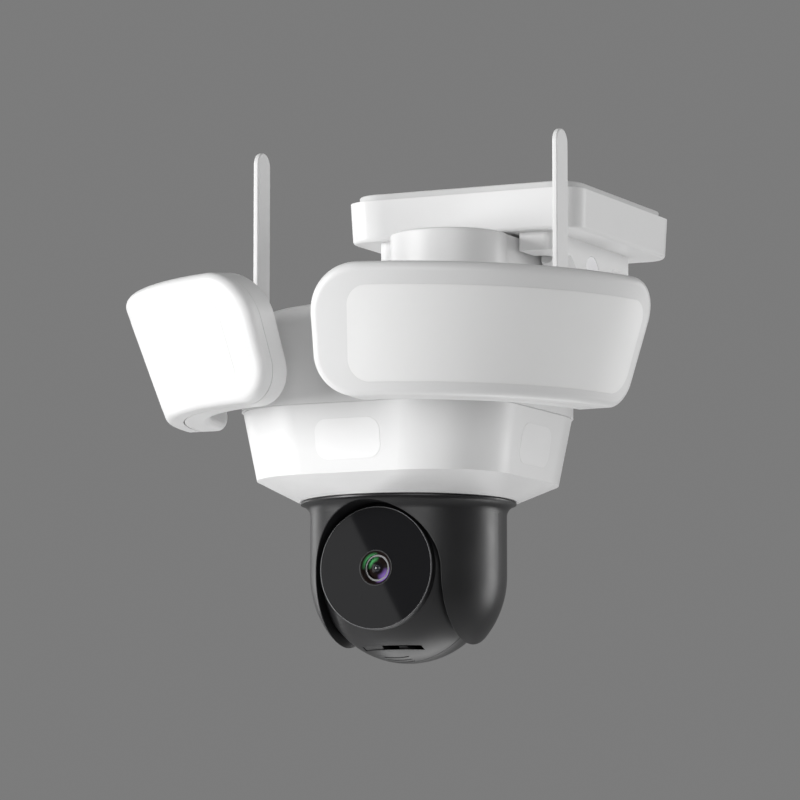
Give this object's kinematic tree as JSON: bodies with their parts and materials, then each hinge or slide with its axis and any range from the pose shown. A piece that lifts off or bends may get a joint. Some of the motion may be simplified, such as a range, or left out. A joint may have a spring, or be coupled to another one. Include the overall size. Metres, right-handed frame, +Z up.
{
  "type": "floodlight security camera",
  "caption": "Outdoor security camera with a pan and tilt lens unit under a squared housing, twin curved floodlight heads, folding antennas and a hinged square mounting cover",
  "frame": {"origin": "centre of the mounting cover's top face, in the plane that meets the junction box", "axes": "+Z up out of the cover towards the junction box, the camera looks along -Y, +X to the camera's left as it looks out"},
  "size_m": [0.2506, 0.2963, 0.2367],
  "materials": {
    "white_shell": "satin white, UV-stable",
    "antenna_white": "matt white",
    "window_white": "matt infrared-passing white",
    "diffuser": "milky opal",
    "rubber": "light grey soft rubber",
    "steel": "plain zinc-plated",
    "grey_cast": "white powder coat",
    "black_shell": "satin black",
    "black_gloss": "polished black window",
    "bright_trim": "satin grey metal",
    "black_inner": "matt black",
    "lens": "coated lens glass",
    "motor": "plated can",
    "gear_plastic": "natural acetal",
    "board": "green circuit board",
    "lamp_board": "white coated metal board",
    "lamp": "yellow phosphor"
  },
  "bodies": {
    "mount": {"mount_cover": "white_shell", "mount_gasket": "rubber", "mount_bracket": "steel", "hinge_saddle": "white_shell", "cover_screws": "steel", "hinge_bolt": "steel", "hinge_nut": "steel", "friction_washers": "steel"},
    "body": {"neck_shell": "white_shell", "upper_housing": "white_shell", "lower_housing": "white_shell", "seam_seal": "rubber", "pir_windows": "window_white", "pir_sensors": "board", "chassis_plate": "black_inner", "chassis_screws": "steel", "pan_bush": "gear_plastic", "pan_motor": "motor", "main_board": "board", "power_supply": "board", "siren": "black_inner", "light_brackets": "steel", "light_swivel_pins": "steel", "antenna_pins": "steel"},
    "pan_drive": {"pan_pinion": "gear_plastic"},
    "yoke": {"yoke_shell": "black_shell", "yoke_covers": "black_shell", "tilt_bushes": "gear_plastic", "pan_hub": "steel", "pan_gear": "gear_plastic", "tilt_motor": "motor"},
    "tilt_drive": {"tilt_pinion": "gear_plastic"},
    "ball": {"ball_front": "black_shell", "ball_rear": "black_shell", "lens_bezel": "bright_trim", "front_glass": "black_gloss", "lens_barrel": "black_inner", "lens_ring": "bright_trim", "lens_glass": "lens", "sensor_board": "board", "card_cover": "black_inner", "tilt_shafts": "steel", "tilt_gear": "gear_plastic"},
    "reset_key": {"reset_button": "black_inner"},
    "light_arm_right": {"light_knuckle_right": "grey_cast"},
    "light_head_right": {"light_bezel_right": "white_shell", "light_diffuser_right": "diffuser", "light_rear_right": "white_shell", "light_board_right": "lamp_board", "light_leds_right": "lamp", "light_tilt_pin_right": "steel"},
    "antenna_right": {"antenna_paddle_right": "antenna_white"},
    "light_arm_left": {"light_knuckle_left": "grey_cast"},
    "light_head_left": {"light_bezel_left": "white_shell", "light_diffuser_left": "diffuser", "light_rear_left": "white_shell", "light_board_left": "lamp_board", "light_leds_left": "lamp", "light_tilt_pin_left": "steel"},
    "antenna_left": {"antenna_paddle_left": "antenna_white"}
  },
  "joints": [
    {"name": "mount_hinge", "type": "hinge", "parent": "mount", "child": "body", "pos_m": [0, -0.005, -0.036], "axis": [1, 0, 0], "range_deg": [0, 90]},
    {"name": "pan", "type": "hinge", "parent": "body", "child": "yoke", "pos_m": [0, -0.1126, -0.1376], "axis": [0, 0, 1], "range_deg": [-170, 170]},
    {"name": "pan_pinion_spin", "type": "hinge", "parent": "body", "child": "pan_drive", "pos_m": [0, -0.0766, -0.1376], "axis": [0, 0, 1], "range_deg": [-851, 851]},
    {"name": "tilt", "type": "hinge", "parent": "yoke", "child": "ball", "pos_m": [0, -0.1126, -0.1833], "axis": [1, 0, 0], "range_deg": [-2, 90]},
    {"name": "tilt_pinion_spin", "type": "hinge", "parent": "yoke", "child": "tilt_drive", "pos_m": [0.0339, -0.1126, -0.1678], "axis": [1, 0, 0], "range_deg": [-221, 6]},
    {"name": "reset_press", "type": "slide", "parent": "ball", "child": "reset_key", "axis": [0, 1, 0], "range_m": [0, 0.0006], "stiffness_N_per_m": 600},
    {"name": "light_swivel_right", "type": "hinge", "parent": "body", "child": "light_arm_right", "pos_m": [0.05402, -0.16606, -0.0856], "axis": [0, 0, 1], "range_deg": [-10, 10]},
    {"name": "light_tilt_right", "type": "hinge", "parent": "light_arm_right", "child": "light_head_right", "pos_m": [0.06326, -0.1752, -0.0856], "axis": [0.7034, 0.7108, 0], "range_deg": [-20, 12]},
    {"name": "antenna_fold_right", "type": "hinge", "parent": "body", "child": "antenna_right", "pos_m": [0.0747, -0.1126, -0.0753], "axis": [1, 0, 0], "range_deg": [-90, 60]},
    {"name": "light_swivel_left", "type": "hinge", "parent": "body", "child": "light_arm_left", "pos_m": [-0.05745, -0.16236, -0.0856], "axis": [0, 0, 1], "range_deg": [-10, 10]},
    {"name": "light_tilt_left", "type": "hinge", "parent": "light_arm_left", "child": "light_head_left", "pos_m": [-0.06727, -0.17087, -0.0856], "axis": [0.6547, -0.7559, 0], "range_deg": [-20, 12]},
    {"name": "antenna_fold_left", "type": "hinge", "parent": "body", "child": "antenna_left", "pos_m": [-0.0747, -0.1126, -0.0753], "axis": [1, 0, 0], "range_deg": [-90, 60]}
  ],
  "couplings": [
    {"joint": "pan_pinion_spin", "follows": "pan", "ratio": -5},
    {"joint": "tilt_pinion_spin", "follows": "tilt", "ratio": -2.4444}
  ]
}
